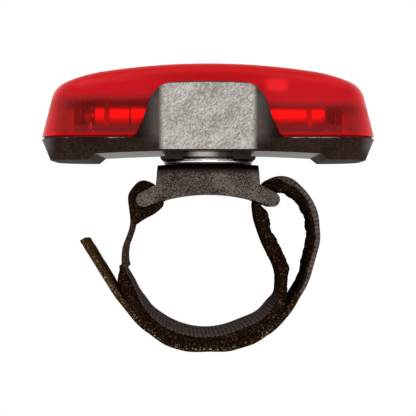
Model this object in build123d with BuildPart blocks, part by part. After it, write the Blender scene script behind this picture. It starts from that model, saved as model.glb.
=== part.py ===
from build123d import *
from math import asin, cos, degrees, radians, sin, tan
import os

os.makedirs("parts", exist_ok=True)

# Frame: millimetres. The origin is the top of the saddle's concave seat, +X runs along the light, +Z points out
# of the lens. The strap loop hangs below the origin.

# Two AAA cells side by side: they set the size of everything round them
cell_radius = 5.25
cell_length = 43.7
nub_radius = 1.9
nub_length = 0.8
cell_half_gap = 0.11
cell_play = 0.1
cell_edge_radius = 0.4

# Plan of the light
end_bow = 0.5
side_bow = 0.6
corner_radius = 9.0
side_gap = 0.24

# Rear housing, heights from the roof of its back recess
foot_drop = 1.7
floor_rise = 1.52
rim_rise = 2.37
housing_draft = 22.0
housing_wall = 1.6
foot_edge_radius = 0.3
foot_length = 7.9
recess_sag = 0.6
recess_run = 1.3

# Side tab of the housing: flat facet, receding flanks, sloped sides and a rounded top
tab_foot_rise = 0.17
tab_base_half = 13.3
tab_ledge = 2.0
tab_top_half = 9.75
tab_shoulder_drop = 4.9
tab_crown = 0.4
tab_round = 5.0
tab_flare_radius = 2.0
facet_half = 8.8
flank_angle = 14.0
tab_thickness = 2.4

# Cover lens
seam_gap = 0.45
lens_draft = 14.1
lens_wall = 1.6
lens_headroom = 1.14
dome_radius = 132.0
shoulder_start = 20.0
shoulder_radius = 30.0
crown_radius = 60.0
lens_edge_radius = 4.5
lens_fit = 0.15
tongue_setback = 1.75
tongue_thickness = 0.9
tongue_depth = 1.15
band_height = 1.1
tab_wall = 1.1

# Seal in the seam
seal_setback = 0.45
seal_width = 1.15
seal_fit = 0.05

# Saddle and its ears
saddle_length = 19.0
saddle_depth = 21.5
saddle_middle_z = 5.8
saddle_crown = 0.4
saddle_roof = 2.85
saddle_flare = 0.3
saddle_edge_radius = 1.4
seat_radius = 34.0
seat_half = 8.15
ear_thickness = 2.75
ear_slope = 28.0
ear_tip_x = 12.15
ear_tip_z = -1.05
slot_setback = 2.35
slot_width = 1.9
slot_corner = 0.5

# Turntable, its screw and washer
disc_radius = 8.65
disc_thickness = 0.66
disc_edge_radius = 0.25
boss_radius = 2.5
boss_bore_radius = 1.1
running_fit = 0.05
thread_fit = 0.05
screw_head_radius = 3.0
screw_head_height = 1.3
drive_length = 3.2
drive_width = 0.7
drive_depth = 0.7
washer_radius = 3.4
washer_thickness = 0.5
counterbore_radius = 3.7

# Rail on the turntable and the shoe that slides on it
rail_half = 6.8
rail_length = 16.9
rail_thickness = 0.8
rail_nose = 1.0
neck_half = 4.6
lip_thickness = 0.5
shoe_wall = 1.27
shoe_flange = 0.8
shoe_stop_gap = 0.2
shoe_stop_thickness = 1.8
shoe_far_margin = 0.7
shoe_plate_thickness = 0.75
slide_fit = 0.08
shoe_screw_spacing = 10.0
shoe_screw_radius = 0.8
shoe_screw_head = 1.4
shoe_screw_head_height = 0.35
shoe_screw_length = 1.9
shoe_boss_radius = 1.5
shoe_boss_height = 1.4
shoe_boss_cap = 0.6

# Strap tapes, with the corners of their routes as distances along X and Z
tape_width = 17.1
anchor_thickness = 1.0
loop_thickness = 1.86
hook_thickness = 1.15
pile_gap = 0.08
slot_end_gap = 0.5
slot_straight = 2.25
anchor_overlap = 0.9
anchor_neck = (-15.6, -10.0)
anchor_seam = (-14.2, -5.6)
anchor_side = (-14.9, -0.2)
anchor_top = (-12.9, 2.35)
anchor_bends = (1.2, 8.0, 6.0, 2.0, 1.6, 0.8, 0.9)
loop_start = (-15.6, -14.0)
loop_low_left = (-11.8, -24.4)
loop_low_middle = (-0.6, -28.85)
loop_low_right = (10.95, -24.4)
loop_right = (14.45, -20.4)
loop_right_bend = (14.4, -15.2)
loop_slot_approach = (9.75, -4.0)
loop_bends = (11.5, 16.0, 10.0, 3.2, 8.0, 3.0)
return_top = (14.4, 3.5)
return_shoulder = (19.8, -1.9)
return_side = (21.0, -8.6)
return_low = (18.6, -16.9)
return_bends = (1.2, 1.6, 3.0, 5.0, 8.0, 12.0)
tail_end = (-23.8, -8.5)

# Battery tray
contact_space = 2.05
tray_wall = 1.2
tray_top_rise = 4.35
tray_deck_thickness = 1.4
tray_gap = 0.35
tray_corner = 3.0
rib_thickness = 0.9
rib_inset = 5.3
rib_foot_drop = 2.55
cusp_rise = 2.05
lug_reach = 2.2
lug_gap = 0.76
lug_radius = 1.4
lug_top_drop = 1.1
lug_thickness = 1.2
tray_screw_radius = 0.7
tray_screw_head = 1.2
tray_screw_head_height = 0.65
screw_bite = 1.8

# Contacts
contact_thickness = 0.3
contact_width = 7.0
contact_foot_drop = 3.75
contact_top_rise = 3.45
contact_tab_width = 2.0
contact_tab_drop = 0.6
contact_touch = 0.05
leaf_width = 3.6
leaf_half = 2.6
bridge_height = 5.0

# Circuit board and what it carries
board_clearance = 0.4
board_width = 15.0
board_end_margin = 1.6
board_thickness = 0.8
board_corner = 1.5
board_screw_gap = 0.2
board_screw_radius = 0.6
board_screw_head = 1.2
board_screw_head_height = 0.5
board_screw_length = 2.4
post_radius = 1.1
led_count = 5
led_pitch = 6.5
led_size = 2.8
led_height = 0.7
led_dome_radius = 1.1
led_dome_height = 0.5
led_dome_taper = 35.0
led_corner = 0.3
reflector_margin = 0.6
reflector_width = 13.6
reflector_height = 0.75
reflector_hole_radius = 2.25
reflector_flare = 15.0
chip_size = 4.0
chip_height = 0.9
resistor_length = 1.6
resistor_width = 0.8
resistor_height = 0.4
resistor_count = 5
resistor_pitch = 1.7
wire_radius = 0.35
wire_y = 3.4
wire_tab_overlap = 0.45
wire_first_run = 0.9
wire_first_rise = 0.15
wire_crest_rise = 0.55
wire_bends = (1.5, 2.6)

# Push switch and power button on the far side
switch_width = 3.5
switch_depth = 1.05
switch_setback = 0.1
switch_sink = 0.5
switch_board_gap = 0.25
plunger_radius = 0.4
plunger_rise = 0.45
plunger_reach = 0.2
pin_width = 0.5
pin_thickness = 0.25
pin_reach = 0.6
button_half = 4.8
button_height = 4.7
button_top_margin = 0.2
button_radius = 1.6
button_edge_radius = 0.3
button_fit = 0.12
button_proud = 0.35
button_flange = 0.8
button_flange_thickness = 0.5
button_travel = 0.4
button_free_play = 0.05
stem_half = 1.1
stem_height = 1.1
stem_corner = 0.3
stem_slot_margin = 0.35

# Heights, from the saddle up through the turntable and the shoe to the housing
disc_bottom_z = saddle_middle_z + slide_fit
disc_top_z = disc_bottom_z + disc_thickness
shoe_bottom_z = disc_top_z + slide_fit
lip_top_z = shoe_bottom_z + lip_thickness
rail_bottom_z = lip_top_z + slide_fit
rail_top_z = rail_bottom_z + rail_thickness
recess_middle_z = rail_top_z + slide_fit
foot_z = recess_middle_z - foot_drop
housing_floor_z = recess_middle_z + floor_rise
rim_z = recess_middle_z + rim_rise
lens_base_z = rim_z + seam_gap
tongue_bottom_z = lens_base_z - tongue_depth
tab_foot_z = recess_middle_z + tab_foot_rise

# Heights of the cells, the tray, the board and the lens over them
cell_axis_z = housing_floor_z + cell_play + cell_radius
tray_top_z = cell_axis_z + tray_top_rise
lug_top_z = tray_top_z - lug_top_drop
rib_foot_z = cell_axis_z - rib_foot_drop
board_bottom_z = cell_axis_z + cell_radius + board_clearance
board_top_z = board_bottom_z + board_thickness
lens_apex_z = board_top_z + led_height + led_dome_height + lens_headroom + lens_wall
tab_shoulder_z = lens_apex_z - tab_shoulder_drop
tab_top_z = tab_shoulder_z + tab_crown
switch_bottom_z = tray_top_z - switch_sink
switch_top_z = board_bottom_z - switch_board_gap
plunger_z = switch_bottom_z + plunger_rise
button_middle_z = plunger_z + button_top_margin - button_height / 2

# Length and width of the light, from what the lens has to clear, and the recess between its feet
draft_slope = tan(radians(lens_draft))
cell_axis_y = cell_radius + cell_half_gap
tab_cavity_y = cell_axis_y + cell_radius + side_gap
lens_tab_y = tab_cavity_y + tab_wall
tab_inner_y = lens_tab_y + lens_fit
half_width = tab_inner_y + tab_thickness
light_width = 2 * half_width
cell_end_x = (cell_length + nub_length) / 2
tray_end_x = cell_end_x + contact_space
lug_tip_x = tray_end_x + tray_wall + lug_reach
light_length = 2 * (lug_tip_x + lug_gap + lens_wall + (lug_top_z - lens_base_z) * draft_slope)
foot_setback = (rim_z - foot_z) * tan(radians(housing_draft))
recess_half = light_length / 2 - foot_setback - foot_length - recess_run
tab_foot_half = tab_base_half + tab_ledge


def draw_plan(setback):
    """Draws the light's plan, set in from its outline, in the open sketch."""
    half_x = light_length / 2
    half_y = light_width / 2
    left_near = (end_bow - half_x, side_bow - half_y)
    right_near = (half_x - end_bow, side_bow - half_y)
    right_far = (half_x - end_bow, half_y - side_bow)
    left_far = (end_bow - half_x, half_y - side_bow)
    with BuildLine() as outline:
        ThreePointArc(left_near, (0, -half_y), right_near)
        ThreePointArc(right_near, (half_x, 0), right_far)
        ThreePointArc(right_far, (0, half_y), left_far)
        ThreePointArc(left_far, (-half_x, 0), left_near)
    make_face(outline.edges())
    fillet(vertices(), radius=corner_radius)
    if setback:
        offset(amount=-setback)


def draw_tab(margin):
    """Draws the side tab's outline, grown by a margin, in the open upright sketch."""
    with BuildLine() as outline:
        ThreePointArc((-tab_top_half, tab_shoulder_z), (0, tab_top_z), (tab_top_half, tab_shoulder_z))
        Polyline(
            (tab_top_half, tab_shoulder_z),
            (tab_base_half, rim_z),
            (tab_foot_half, rim_z),
            (tab_foot_half, tab_foot_z),
            (-tab_foot_half, tab_foot_z),
            (-tab_foot_half, rim_z),
            (-tab_base_half, rim_z),
            (-tab_top_half, tab_shoulder_z),
        )
    make_face(outline.edges())
    reach = tab_base_half + tab_ledge / 2
    ledge_corners = vertices().filter_by_position(Axis.X, -reach, reach)
    fillet(ledge_corners.group_by(Axis.Y)[0], radius=min(tab_flare_radius, tab_ledge))
    fillet(vertices().group_by(Axis.Y)[-1], radius=tab_round)
    if margin:
        offset(amount=margin)


def cover_form(setback, edge_radius):
    """The lens's domed and drafted form, with every face set in by the same amount."""
    loft_top_z = lens_apex_z + lens_wall
    crown_drop = crown_radius - (crown_radius**2 - half_width**2) ** 0.5
    spread = asin(shoulder_start / dome_radius)
    hub = Vector(0, 0, lens_apex_z - dome_radius)
    shoulder_hub = hub + Vector(sin(spread), 0, cos(spread)) * (dome_radius - shoulder_radius)
    section_plane = Plane(origin=hub, x_dir=(0, 1, 0), z_dir=(cos(spread), 0, -sin(spread)))
    with BuildSketch(section_plane) as section:
        with BuildLine():
            ThreePointArc(
                (-half_width, dome_radius - crown_drop - setback),
                (0, dome_radius - setback),
                (half_width, dome_radius - crown_drop - setback),
            )
            Polyline(
                (half_width, dome_radius - crown_drop - setback),
                (half_width, dome_radius - shoulder_radius),
                (-half_width, dome_radius - shoulder_radius),
                (-half_width, dome_radius - crown_drop - setback),
            )
        make_face()
    with BuildPart() as wheel:
        revolve(section.sketch, axis=Axis(hub, (0, -1, 0)), revolution_arc=degrees(2 * spread))
        revolve(section.sketch, axis=Axis(shoulder_hub, (0, 1, 0)), revolution_arc=90 - degrees(spread))
        mirror(about=Plane.YZ)
    with BuildPart() as form:
        with BuildSketch(Plane.XY.offset(lens_base_z)):
            draw_plan(setback)
        with BuildSketch(Plane.XY.offset(loft_top_z)):
            draw_plan(setback + (loft_top_z - lens_base_z) * draft_slope)
        loft(ruled=True)
        add(wheel.part, mode=Mode.INTERSECT)
        rim_edges = form.edges().filter_by(lambda edge: edge.center().Z > lens_base_z + lens_edge_radius)
        fillet(rim_edges, radius=edge_radius)
    return form.part


# Side tab, near side: outline cut through a plan with a flat facet and two receding flanks
with BuildPart() as side_tab:
    with BuildSketch(Plane.XZ.offset(tab_inner_y)):
        draw_tab(0)
    extrude(amount=tab_thickness)
    with BuildSketch():
        flank_run = 2 * tab_foot_half - facet_half
        flank_y = -half_width + flank_run * tan(radians(flank_angle))
        Polygon(
            (-facet_half, -half_width),
            (facet_half, -half_width),
            (facet_half + flank_run, flank_y),
            (facet_half + flank_run, 0),
            (-facet_half - flank_run, 0),
            (-facet_half - flank_run, flank_y),
            align=None,
        )
    extrude(amount=2 * tab_top_z, mode=Mode.INTERSECT)

far_tab = mirror(side_tab.part, about=Plane.XZ)

# Rear housing: drafted tub on two feet, with the arched recess between them and the two side tabs
recess_end_z = recess_middle_z - recess_sag
shoe_near_y = -rail_length / 2 - shoe_stop_gap - shoe_stop_thickness
shoe_far_y = rail_length / 2 + shoe_far_margin
shoe_length = shoe_far_y - shoe_near_y
shoe_middle_y = (shoe_far_y + shoe_near_y) / 2
shoe_half = rail_half + slide_fit + shoe_wall
shoe_boss_top_z = housing_floor_z + shoe_boss_height
pocket_depth = button_flange_thickness + button_travel + button_fit
with BuildPart() as rear_housing:
    with BuildSketch(Plane.XY.offset(rim_z)):
        draw_plan(0)
    with BuildSketch(Plane.XY.offset(foot_z)):
        draw_plan(foot_setback)
    loft(ruled=True)
    with BuildSketch(Plane.XZ):
        with BuildLine():
            ThreePointArc((-recess_half, recess_end_z), (0, recess_middle_z), (recess_half, recess_end_z))
            Polyline(
                (recess_half, recess_end_z),
                (recess_half + recess_run, foot_z),
                (recess_half + recess_run, 0),
                (-recess_half - recess_run, 0),
                (-recess_half - recess_run, foot_z),
                (-recess_half, recess_end_z),
            )
        make_face()
    extrude(amount=light_width, both=True, mode=Mode.SUBTRACT)
    fillet(rear_housing.faces().group_by(Axis.Z)[0].edges(), radius=foot_edge_radius)
    with BuildSketch(Plane.XY.offset(rim_z)):
        draw_plan(housing_wall)
    extrude(amount=housing_floor_z - rim_z, mode=Mode.SUBTRACT)
    add(side_tab.part)
    add(far_tab)
    # Pocket for the shoe's plate, and the two bosses that its screws bite
    with BuildSketch(Plane.XY):
        with Locations((0, shoe_middle_y)):
            Rectangle(2 * (shoe_half + thread_fit), shoe_length + 2 * thread_fit)
    extrude(amount=recess_middle_z + shoe_plate_thickness, mode=Mode.SUBTRACT)
    with BuildSketch(Plane.XY.offset(recess_middle_z + shoe_plate_thickness)):
        with GridLocations(shoe_screw_spacing, 0, 2, 1):
            Circle(shoe_boss_radius)
    extrude(amount=shoe_boss_top_z - recess_middle_z - shoe_plate_thickness)
    with BuildSketch(Plane.XY):
        with GridLocations(shoe_screw_spacing, 0, 2, 1):
            Circle(shoe_screw_radius)
    extrude(amount=shoe_boss_top_z - shoe_boss_cap, mode=Mode.SUBTRACT)
    # Opening and flange pocket of the power button in the far tab
    with BuildSketch(Plane.XZ):
        with Locations((0, button_middle_z)):
            RectangleRounded(2 * (button_half + button_fit), button_height + 2 * button_fit, button_radius)
    extrude(amount=-light_width, mode=Mode.SUBTRACT)
    with BuildSketch(Plane.XZ):
        with Locations((0, button_middle_z)):
            RectangleRounded(2 * (button_half + button_flange), button_height + 2 * button_flange, button_radius)
    extrude(amount=-(tab_inner_y + pocket_depth), mode=Mode.SUBTRACT)

# Power button: cap proud of the tab, flange behind it and a stem that reaches the switch
button_face_y = half_width + button_proud
flange_outer_y = tab_inner_y + pocket_depth - button_fit / 2
plunger_end_y = tab_cavity_y + plunger_reach
stem_end_y = plunger_end_y + button_travel + button_free_play
with BuildPart() as power_button:
    with BuildSketch(Plane.XZ.offset(-button_face_y)):
        with Locations((0, button_middle_z)):
            RectangleRounded(2 * button_half, button_height, button_radius)
    extrude(amount=button_face_y - flange_outer_y)
    fillet(power_button.faces().sort_by(Axis.Y)[-1].edges(), radius=button_edge_radius)
    with BuildSketch(Plane.XZ.offset(-flange_outer_y)):
        with Locations((0, button_middle_z)):
            RectangleRounded(
                2 * (button_half + button_flange) - 2 * button_fit,
                button_height + 2 * button_flange - 2 * button_fit,
                button_radius,
            )
    extrude(amount=button_flange_thickness)
    with BuildSketch(Plane.XZ.offset(-flange_outer_y)):
        with Locations((0, plunger_z)):
            RectangleRounded(2 * stem_half, stem_height, stem_corner)
    extrude(amount=flange_outer_y - stem_end_y)

# Cover lens: domed shell with recesses for the tabs, a locating tongue and two screw bosses
outer_form = cover_form(0, lens_edge_radius)
inner_form = cover_form(lens_wall, lens_edge_radius - lens_wall)
cavity_reach_x = tab_foot_half + lens_fit
lug_x = lug_tip_x - lug_radius
with BuildPart() as tab_cutter:
    with BuildSketch(Plane.XZ.offset(lens_tab_y)):
        draw_tab(lens_fit)
    extrude(amount=light_width)
far_cutter = mirror(tab_cutter.part, about=Plane.XZ)
lens_band_z = lens_base_z + band_height
with BuildPart() as lens_cavity:
    add(inner_form)
    with BuildSketch(Plane.XY):
        Rectangle(2 * light_length, 2 * light_width)
    extrude(amount=lens_band_z, mode=Mode.SUBTRACT)
    with BuildSketch(Plane.XY.offset(lens_band_z)):
        draw_plan(tongue_setback + tongue_thickness)
    extrude(amount=-lens_band_z)
    with BuildSketch(Plane.XY):
        with GridLocations(0, 2 * (tab_cavity_y + light_width), 1, 2):
            Rectangle(2 * cavity_reach_x, 2 * light_width)
    extrude(amount=lens_apex_z, mode=Mode.SUBTRACT)
with BuildPart() as screw_bosses:
    with BuildSketch(Plane.XY.offset(lug_top_z + thread_fit)):
        with GridLocations(2 * lug_x, 0, 2, 1):
            Circle(lug_radius)
    extrude(amount=lens_apex_z)
    add(outer_form, mode=Mode.INTERSECT)
with BuildPart() as lens:
    add(outer_form)
    with BuildSketch(Plane.XY.offset(tongue_bottom_z)):
        draw_plan(tongue_setback)
    extrude(amount=tongue_depth)
    add(tab_cutter.part, mode=Mode.SUBTRACT)
    add(far_cutter, mode=Mode.SUBTRACT)
    add(lens_cavity.part, mode=Mode.SUBTRACT)
    # Slot that lets the button's stem through and clears it as the lens lifts off
    with BuildSketch(Plane.XZ.offset(-tab_cavity_y + lens_wall)):
        with Locations((0, tongue_bottom_z)):
            Rectangle(
                2 * (stem_half + stem_slot_margin),
                plunger_z + stem_height / 2 + stem_slot_margin - tongue_bottom_z,
                align=(Align.CENTER, Align.MIN),
            )
    extrude(amount=-2 * lens_wall, mode=Mode.SUBTRACT)
    add(screw_bosses.part)
    with BuildSketch(Plane.XY.offset(lug_top_z)):
        with GridLocations(2 * lug_x, 0, 2, 1):
            Circle(tray_screw_radius)
    extrude(amount=screw_bite, mode=Mode.SUBTRACT)

# Seal in the seam, in two runs that end at the side tabs
with BuildPart() as cover_seals:
    with BuildSketch(Plane.XY.offset(rim_z + seal_fit)):
        draw_plan(seal_setback)
        with BuildSketch(mode=Mode.SUBTRACT):
            draw_plan(seal_setback + seal_width)
        Rectangle(2 * (cavity_reach_x + seal_fit), light_width, mode=Mode.SUBTRACT)
    extrude(amount=seam_gap - seal_fit)

# Saddle: concave seat, sloped ears with a strap slot each, rounded upper edges and the pivot's stepped bore
saddle_corner_z = saddle_middle_z - saddle_crown
boss_bottom_z = saddle_middle_z - saddle_roof - running_fit
ear_radius = ear_thickness / 2
ear_run = Vector(cos(radians(ear_slope)), -sin(radians(ear_slope)))
ear_rise = Vector(sin(radians(ear_slope)), cos(radians(ear_slope)))
ear_tip = Vector(ear_tip_x, ear_tip_z)
ear_top = ear_tip + ear_rise * ear_radius
ear_under = ear_tip - ear_rise * ear_radius
wall_foot_x = saddle_length / 2 + saddle_flare
wall_foot = (wall_foot_x, ear_top.Y + (ear_top.X - wall_foot_x) * tan(radians(ear_slope)))
seat_drop = seat_radius - (seat_radius**2 - seat_half**2) ** 0.5
slot_middle = ear_tip - ear_run * slot_setback
with BuildPart() as saddle:
    with BuildSketch(Plane.XZ):
        with BuildLine():
            Polyline((saddle_length / 2, saddle_corner_z), wall_foot, ear_top)
            ThreePointArc(ear_top, ear_tip + ear_run * ear_radius, ear_under)
            Line(ear_under, (seat_half, -seat_drop))
            mirror(about=Plane.YZ)
            ThreePointArc(
                (-saddle_length / 2, saddle_corner_z), (0, saddle_middle_z), (saddle_length / 2, saddle_corner_z)
            )
            ThreePointArc((-seat_half, -seat_drop), (0, 0), (seat_half, -seat_drop))
        make_face()
    extrude(amount=saddle_depth / 2, both=True)
    upper_edges = saddle.faces().sort_by(Axis.Z)[-1].edges()
    fillet(upper_edges.sort_by(Axis.Y)[0], radius=saddle_edge_radius)
    upper_edges = saddle.faces().sort_by(Axis.Z)[-1].edges()
    fillet(upper_edges.sort_by(Axis.Y)[-1], radius=saddle_edge_radius)
    for side in (-1, 1):
        slot_plane = Plane(
            origin=(side * slot_middle.X, 0, slot_middle.Y),
            x_dir=(side * ear_run.X, 0, ear_run.Y),
            z_dir=(side * ear_rise.X, 0, ear_rise.Y),
        )
        with BuildSketch(slot_plane):
            RectangleRounded(slot_width, tape_width + 2 * slot_end_gap, slot_corner)
        extrude(amount=ear_thickness, both=True, mode=Mode.SUBTRACT)
    with BuildSketch(Plane.XY.offset(-ear_thickness)):
        Circle(counterbore_radius)
    extrude(amount=ear_thickness + boss_bottom_z + running_fit, mode=Mode.SUBTRACT)
    with BuildSketch():
        Circle(boss_radius + running_fit)
    extrude(amount=saddle_middle_z + ear_thickness, mode=Mode.SUBTRACT)

# Turntable: polished disc with the flanged rail on it and the pivot boss below


def draw_rail(half):
    """Draws the rail's plan with its bowed nose, in the open sketch."""
    Rectangle(2 * half, rail_length)
    with BuildLine() as nose:
        ThreePointArc(
            (-neck_half, -rail_length / 2), (0, -rail_length / 2 - rail_nose), (neck_half, -rail_length / 2)
        )
        Line((neck_half, -rail_length / 2), (-neck_half, -rail_length / 2))
    make_face(nose.edges())


with BuildPart() as turntable:
    with BuildSketch(Plane.XY.offset(disc_bottom_z)):
        Circle(disc_radius)
    extrude(amount=disc_top_z - disc_bottom_z)
    fillet(turntable.edges(), radius=disc_edge_radius)
    with BuildSketch(Plane.XY.offset(disc_top_z)):
        draw_rail(neck_half)
    extrude(amount=rail_bottom_z - disc_top_z)
    with BuildSketch(Plane.XY.offset(rail_bottom_z)):
        draw_rail(rail_half)
    extrude(amount=rail_top_z - rail_bottom_z)
    with BuildSketch(Plane.XY.offset(disc_bottom_z)):
        Circle(boss_radius)
    extrude(amount=boss_bottom_z - disc_bottom_z)
    with BuildSketch(Plane.XY.offset(boss_bottom_z)):
        Circle(boss_bore_radius)
    extrude(amount=rail_bottom_z - boss_bottom_z, mode=Mode.SUBTRACT)

# Pivot washer and pivot screw
with BuildPart() as pivot_washer:
    with BuildSketch(Plane.XY.offset(boss_bottom_z - washer_thickness)):
        Circle(washer_radius)
        Circle(boss_bore_radius, mode=Mode.SUBTRACT)
    extrude(amount=washer_thickness)

screw_seat_z = boss_bottom_z - washer_thickness
with BuildPart() as pivot_screw:
    with BuildSketch(Plane.XY.offset(screw_seat_z - screw_head_height)):
        Circle(screw_head_radius)
    extrude(amount=screw_head_height)
    fillet(pivot_screw.edges().sort_by(Axis.Z)[0], radius=screw_head_height / 3)
    with BuildSketch(Plane.XY.offset(screw_seat_z)):
        Circle(boss_bore_radius - thread_fit)
    extrude(amount=rail_bottom_z - slide_fit - screw_seat_z)
    with BuildSketch(Plane.XY.offset(screw_seat_z - screw_head_height)):
        Rectangle(drive_length, drive_width)
        Rectangle(drive_width, drive_length)
    extrude(amount=drive_depth, mode=Mode.SUBTRACT)

# Mounting shoe: channel between two lips, open at the far end and stopped at the near end, under its plate
with BuildPart() as mount_shoe:
    with BuildSketch(Plane.XY.offset(shoe_bottom_z)):
        with Locations((0, shoe_middle_y)):
            Rectangle(2 * (shoe_half + shoe_flange), shoe_length)
    extrude(amount=lip_thickness)
    with BuildSketch(Plane.XY.offset(shoe_bottom_z)):
        with Locations((0, shoe_middle_y)):
            Rectangle(2 * shoe_half, shoe_length)
    extrude(amount=recess_middle_z + shoe_plate_thickness - shoe_bottom_z)
    with BuildSketch(Plane.XY.offset(lip_top_z)):
        with Locations((0, shoe_near_y + shoe_stop_thickness)):
            Rectangle(2 * (rail_half + slide_fit), shoe_length, align=(Align.CENTER, Align.MIN))
    extrude(amount=recess_middle_z - lip_top_z, mode=Mode.SUBTRACT)
    with BuildSketch():
        Rectangle(2 * (neck_half + slide_fit), 4 * shoe_length)
    extrude(amount=recess_middle_z, mode=Mode.SUBTRACT)
    with BuildSketch(Plane.XY.offset(recess_middle_z)):
        with GridLocations(shoe_screw_spacing, 0, 2, 1):
            Circle(shoe_screw_head + thread_fit)
    extrude(amount=shoe_screw_head_height, mode=Mode.SUBTRACT)
    with BuildSketch(Plane.XY.offset(recess_middle_z)):
        with GridLocations(shoe_screw_spacing, 0, 2, 1):
            Circle(shoe_screw_radius)
    extrude(amount=shoe_plate_thickness, mode=Mode.SUBTRACT)

with BuildPart() as shoe_screws:
    with BuildSketch(Plane.XY.offset(recess_middle_z)):
        with GridLocations(shoe_screw_spacing, 0, 2, 1):
            Circle(shoe_screw_head)
    extrude(amount=shoe_screw_head_height)
    with BuildSketch(Plane.XY.offset(recess_middle_z + shoe_screw_head_height)):
        with GridLocations(shoe_screw_spacing, 0, 2, 1):
            Circle(shoe_screw_radius - thread_fit)
    extrude(amount=shoe_screw_length)

# Strap: routes of the tapes' middle lines, through slots whose straight runs follow the saddle's
slot_above = slot_middle + ear_rise * slot_straight
slot_below = slot_middle - ear_rise * slot_straight
mirrored_above = Vector(-slot_above.X, slot_above.Y)
mirrored_below = Vector(-slot_below.X, slot_below.Y)
mirrored_middle = Vector(-slot_middle.X, slot_middle.Y)
loop_corners = [loop_start, loop_low_left, loop_low_middle, loop_low_right, loop_right, loop_right_bend]
loop_route = [Vector(corner) for corner in loop_corners + [loop_slot_approach]]
tape_pitch = (loop_thickness + hook_thickness) / 2 + pile_gap


def outside(route, index):
    """The corner of a route moved out by the pitch of the two tapes, so that both its runs stay parallel."""
    into = (route[index] - route[index - 1]).normalized()
    onward = (route[index + 1] - route[index]).normalized()
    side = Vector(into.Y + onward.Y, -into.X - onward.X)
    return route[index] + side * (tape_pitch / (1 + into.dot(onward)))


# The hook tape's corners lie outside the loop tape's, from the right one round to the left one
pressed_corners = [outside(loop_route, 4), outside(loop_route, 3), outside(loop_route, 2), outside(loop_route, 1)]
pressed_bends = [loop_bends[3], loop_bends[2], loop_bends[1], loop_bends[0]]
tape_seam = (Vector(return_low) + pressed_corners[0]) / 2

# Loop tape: thick pile round the inside, then the bare tape through the right slot and back down outside
with BuildPart() as strap_loop_tape:
    with BuildSketch(Plane.XZ):
        with BuildLine():
            FilletPolyline(loop_route + [slot_below], radius=loop_bends)
        trace(line_width=loop_thickness)
        with BuildLine():
            FilletPolyline(
                loop_slot_approach,
                slot_below,
                slot_above,
                return_top,
                return_shoulder,
                return_side,
                return_low,
                tape_seam,
                radius=return_bends,
            )
        trace(line_width=hook_thickness)
    extrude(amount=tape_width / 2, both=True)

# Hook tape: sewn on at the right, pressed on the pile round the bottom, its tail standing off at the left
with BuildPart() as strap_hook_tape:
    with BuildSketch(Plane.XZ):
        with BuildLine():
            FilletPolyline(
                [tape_seam] + pressed_corners + [tail_end], radius=[bend + tape_pitch for bend in pressed_bends]
            )
        trace(line_width=hook_thickness)
    extrude(amount=tape_width / 2, both=True)

# Anchor tape: from the loop tape's start up round the left ear, back down through its slot and onto itself
loop_heading = (loop_route[1] - loop_route[0]).normalized()
with BuildPart() as strap_anchor_tape:
    with BuildSketch(Plane.XZ):
        with BuildLine():
            FilletPolyline(
                loop_start,
                loop_route[0] - loop_heading * anchor_overlap,
                anchor_neck,
                anchor_seam,
                anchor_side,
                anchor_top,
                mirrored_above,
                mirrored_middle,
                radius=anchor_bends[:6],
            )
        trace(line_width=anchor_thickness)
        with BuildLine():
            FilletPolyline(mirrored_middle, mirrored_below, anchor_seam, radius=anchor_bends[6])
        trace(line_width=anchor_thickness)
    extrude(amount=tape_width / 2, both=True)

# Two cells, laid in opposite ways
cells = {}
for name, side in (("battery_near", -1), ("battery_far", 1)):
    nub_plane = Plane(origin=(side * cell_end_x, 0, 0), x_dir=(0, 1, 0), z_dir=(1, 0, 0))
    with BuildPart() as cell:
        with BuildSketch(nub_plane.offset(-side * nub_length)):
            with Locations((side * cell_axis_y, cell_axis_z)):
                Circle(cell_radius)
        extrude(amount=-side * cell_length)
        fillet(cell.edges().filter_by(GeomType.CIRCLE), radius=cell_edge_radius)
        with BuildSketch(nub_plane):
            with Locations((side * cell_axis_y, cell_axis_z)):
                Circle(nub_radius)
        extrude(amount=-side * nub_length)
    cells[name] = cell.part

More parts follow.
